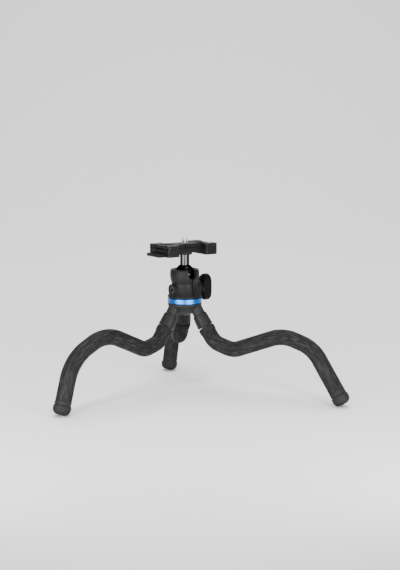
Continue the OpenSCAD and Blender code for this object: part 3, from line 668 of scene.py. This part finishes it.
class TRIPOD_OT_plate(bpy.types.Operator):
    """Clamp plate with its carriage, jaws, pins and rods, and the steel washer under the knob"""

    bl_idname = "tripod.plate"
    bl_label = "Clamp plate"

    def execute(self, context):
        base = tuple(context.scene.tripod_finish.plate)
        paint_nodes(moulded("plate_plastic", base, 0.42), "clamp_base", "slide_carriage", "spring_plugs")
        paint_nodes(moulded("jaw_plastic", shade(base, 1.15), 0.45), "fixed_jaw", "moving_jaw")
        paint_nodes(metal("steel", STEEL, 0.3), "guide_rods", "thrust_washer")
        paint_nodes(metal("pin_steel", BLACK_STEEL, 0.4), "fixed_jaw_pin", "moving_jaw_pin")
        return {"FINISHED"}


class TRIPOD_OT_pads(bpy.types.Operator):
    """Ribbed rubber pads on the jaws"""

    bl_idname = "tripod.pads"
    bl_label = "Jaw pads"

    def execute(self, context):
        base = shade(context.scene.tripod_finish.plate, 0.7)
        rubber = moulded("pad_rubber", base, 0.7, shine=0.2, grain=1600.0, depth=0.00008)
        for side in ("fixed", "moving"):
            for face, up in (("top", 1), ("grip", -1)):
                node = f"{side}_{face}_pad"
                piece = surface(f"{node}_ribbed", self.ribbed(node, up))
                dress(piece, rubber, "pad_rubber", f"{side}_jaw", node)
        return {"FINISHED"}

    @staticmethod
    def ribbed(node, up):
        """A pad's cross-section carried along its width: a flat back, and a face whose height falls by the
        square of a raised cosine between ribs and by a quarter circle at its ends. The first and last
        sections are a little smaller, so that the sides are rounded."""
        low, high = head_box(node)
        middle, half = (low + high) / 2, (high - low) / 2
        ribs, depth, corner, inset = 7, 0.25 * MM, 0.3 * MM, 0.04
        x = np.linspace(-1, 1, 20 * ribs + 1)
        groove = depth * (0.5 - 0.5 * np.cos(TAU * (x + 1) / 2 * ribs)) ** 2
        past = np.clip((np.abs(x) * half[0] - half[0] + corner) / corner, 0, 1)
        shoulder = corner * (1 - np.sqrt(1 - past**2))
        face = half[2] - np.maximum(groove, shoulder)
        section_x = np.concatenate([x, [1.0, -1.0]]) * half[0]
        section_z = np.concatenate([face, [-half[2], -half[2]]]) * up
        width = np.array([-1, -1 + inset, 1 - inset, 1])[:, None] * half[1]
        shrink = np.array([1 - inset, 1, 1, 1 - inset])[:, None]
        places = np.stack(np.broadcast_arrays(section_x * shrink, width, section_z * shrink), axis=-1)
        return from_head((places if up > 0 else places[::-1]) + middle)


class TRIPOD_OT_screw(bpy.types.Operator):
    """Threaded camera screw"""

    bl_idname = "tripod.screw"
    bl_label = "Camera screw"

    def execute(self, context):
        steel = metal("screw_steel", STEEL, 0.26)
        dress(surface("camera_screw_thread", self.thread()), steel, "steel", "clamp", "camera_screw")
        return {"FINISHED"}

    @staticmethod
    def thread():
        """A stud whose radius falls from the thread's crest to its root with the phase of height over pitch
        less the angle over a full turn, with flats on crest and root and a chamfer at the tip."""
        low, high = head_box("camera_screw")
        crest, pitch, depth = high[0], 1.27 * MM, 0.65 * MM
        steepness, crest_flat, chamfer, tip_depth = 1.35, 0.17, 0.9 * MM, 1.3 * depth
        height = np.linspace(low[2], high[2], 200)[:, None]
        angle = ring_angles(columns=72)
        phase = (height / pitch - angle / TAU) % 1
        fall = np.clip(steepness * (1 - np.abs(2 * phase - 1)) - crest_flat, 0, 1)
        tip = np.clip((height - high[2] + chamfer) / chamfer, 0, 1)
        radius = np.minimum(crest - depth * fall, crest - tip_depth * tip)
        x, y, z = np.broadcast_arrays(radius * np.cos(angle), radius * np.sin(angle), height)
        return from_head(np.stack([x, y, z], axis=-1))


class TRIPOD_OT_springs(bpy.types.Operator):
    """Return springs of the sliding side"""

    bl_idname = "tripod.springs"
    bl_label = "Slide springs"

    def execute(self, context):
        low, high = head_box("slide_springs")
        wire = 0.15 * MM
        coil = (high[2] - low[2]) / 2 - wire
        coils = [self.coil(low, high, wire, coil, y) for y in (low[1] + coil + wire, high[1] - coil - wire)]
        spring = surface("slide_spring_coils", *coils)
        dress(spring, metal("spring_steel", SPRING_STEEL, 0.32), "steel", None, "slide_springs")
        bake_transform(spring)
        return {"FINISHED"}

    @staticmethod
    def coil(low, high, wire, coil, y):
        """A round wire along a helix: the centre turns about a line along the plate while it moves along it,
        and the wire's circle lies in the outward direction and the line's direction."""
        turns, points_per_turn = 13, 20
        turn = np.linspace(0, turns * TAU, turns * points_per_turn + 1)[:, None]
        angle = ring_angles(columns=10)
        away = coil + wire * np.cos(angle)
        x = low[0] + wire + (high[0] - low[0] - 2 * wire) * turn / (turns * TAU) - wire * np.sin(angle)
        z = (low[2] + high[2]) / 2 + away * np.sin(turn)
        return from_head(np.stack([x, y + away * np.cos(turn), z], axis=-1))


class TRIPOD_OT_stage(bpy.types.Operator):
    """Pale floor, soft studio light and the camera"""

    bl_idname = "tripod.stage"
    bl_label = "Stage"

    # Places of the softboxes from the tripod's axis and their widths and heights, in metres
    key_place, key_shape = (-0.12, -1.5, 0.5), (0.5, 0.4)
    strip_place, strip_shape = (0.28, -0.42, 0.29), (0.03, 0.42)
    panel_place, panel_shape = (0.305, -0.47, 0.05), (0.48, 0.1)
    top_place, top_shape = (0.0, 0.6, 2.2), (2.4, 2.4)

    def execute(self, context):
        stage, scene = context.scene.tripod_stage, context.scene
        # The low panels light everything but the floor
        not_floor = bpy.data.collections.new("not_floor")
        not_floor.objects.link(self.floor(scene))
        not_floor.collection_objects[0].light_linking.link_state = "EXCLUDE"
        scene.world = bpy.data.worlds.new("studio")
        scene.world.use_nodes = True
        room = scene.world.node_tree.nodes["Background"]
        room.inputs["Color"].default_value = (1, 1, 1, 1)
        room.inputs["Strength"].default_value = stage.sky
        self.softbox(scene, "key", self.key_place, self.key_shape, stage.key, level=0.1)
        for name, side in (("left", -1), ("right", 1)):
            place = np.array([side, 1, 1]) * self.strip_place
            self.softbox(scene, f"{name}_strip", place, self.strip_shape, stage.strip, level=place[2])
            place = np.array([side, 1, 1]) * self.panel_place
            panel = self.softbox(scene, f"{name}_panel", place, self.panel_shape, stage.panel, level=place[2])
            panel.light_linking.receiver_collection = not_floor
        self.softbox(scene, "top", self.top_place, self.top_shape, stage.top, level=0.0)
        self.camera(scene, stage)
        return {"FINISHED"}

    @staticmethod
    def camera(scene, stage):
        """Camera in front of the tripod, above the level of its head and tilted down."""
        camera = bpy.data.objects.new("camera", bpy.data.cameras.new("camera"))
        camera.data.lens = stage.lens
        camera.data.sensor_width = 36
        camera.data.clip_end = 50
        camera.location = tripod_axis() + (stage.side, -stage.distance, stage.height)
        camera.rotation_euler = (math.pi / 2 - stage.pitch, 0, 0)
        scene.collection.objects.link(camera)
        scene.camera = camera

    @staticmethod
    def floor(scene):
        """Pale paper: level ground that turns up in a quarter circle to a wall, behind the tripod and far in
        front of it."""
        half, back, front, bend, top = 6.0, 1.3, 2.2, 0.7, 3.0
        turn = np.linspace(0, math.pi / 2, 32)
        away = np.append(bend * np.sin(turn), bend)
        height = np.append(bend - bend * np.cos(turn), top)
        y = np.concatenate([-front - away[::-1], back + away])
        z = np.concatenate([height[::-1], height])
        x, y, z = np.broadcast_arrays([-half, half], y[:, None], z[:, None])
        points = np.stack([x, y, z], axis=-1).reshape(-1, 3)
        faces = np.arange(0, len(points) - 2, 2)[:, None] + [0, 1, 3, 2]
        mesh = bpy.data.meshes.new("floor")
        mesh.from_pydata(points.tolist(), [], faces.tolist())
        mesh.polygons.foreach_set("use_smooth", np.ones(len(mesh.polygons), dtype=bool))
        mesh.materials.append(Finish("floor_paper", PAPER, 0.9).material)
        floor = bpy.data.objects.new("floor", mesh)
        scene.collection.objects.link(floor)
        return floor

    @staticmethod
    def softbox(scene, name, place, shape, energy, level):
        """A soft area light, placed from the tripod's axis, that faces the axis at a level above ground."""
        light = bpy.data.lights.new(name, "AREA")
        light.shape = "RECTANGLE"
        light.size, light.size_y = shape
        light.energy = energy
        lamp = bpy.data.objects.new(name, light)
        lamp.location = tripod_axis() + place
        aim = np.array([0, 0, level]) - place
        tilt = math.acos(-aim[2] / np.linalg.norm(aim))
        lamp.rotation_euler = (tilt, 0, math.atan2(aim[1], aim[0]) - math.pi / 2)
        scene.collection.objects.link(lamp)
        return lamp


OPERATORS = (
    TRIPOD_OT_sleeves, TRIPOD_OT_cores, TRIPOD_OT_feet, TRIPOD_OT_crown, TRIPOD_OT_ring, TRIPOD_OT_head,
    TRIPOD_OT_plate, TRIPOD_OT_pads, TRIPOD_OT_screw, TRIPOD_OT_springs, TRIPOD_OT_stage,
)
SETTINGS = {
    "tripod_legs": TripodLegSettings,
    "tripod_finish": TripodFinishSettings,
    "tripod_stage": TripodStageSettings,
}


class TRIPOD_PT_panel(bpy.types.Panel):
    """Lists the tripod's pieces and settings"""

    bl_idname = "TRIPOD_PT_panel"
    bl_label = "Flexible leg tripod"
    bl_space_type = "VIEW_3D"
    bl_region_type = "UI"
    bl_category = "Tripod"

    def draw(self, context):
        for operator in OPERATORS:
            self.layout.operator(operator.bl_idname)
        for name, group in SETTINGS.items():
            column = self.layout.column()
            for setting in group.__annotations__:
                column.prop(getattr(context.scene, name), setting)


def register():
    for kind in (*SETTINGS.values(), *OPERATORS, TRIPOD_PT_panel):
        bpy.utils.register_class(kind)
    for name, kind in SETTINGS.items():
        setattr(bpy.types.Scene, name, PointerProperty(type=kind))


def unregister():
    for name in SETTINGS:
        delattr(bpy.types.Scene, name)
    for kind in reversed((*SETTINGS.values(), *OPERATORS, TRIPOD_PT_panel)):
        bpy.utils.unregister_class(kind)


def main():
    register()
    for operator in OPERATORS:
        getattr(bpy.ops.tripod, operator.bl_idname.split(".")[1])()


if __name__ == "__main__":
    main()
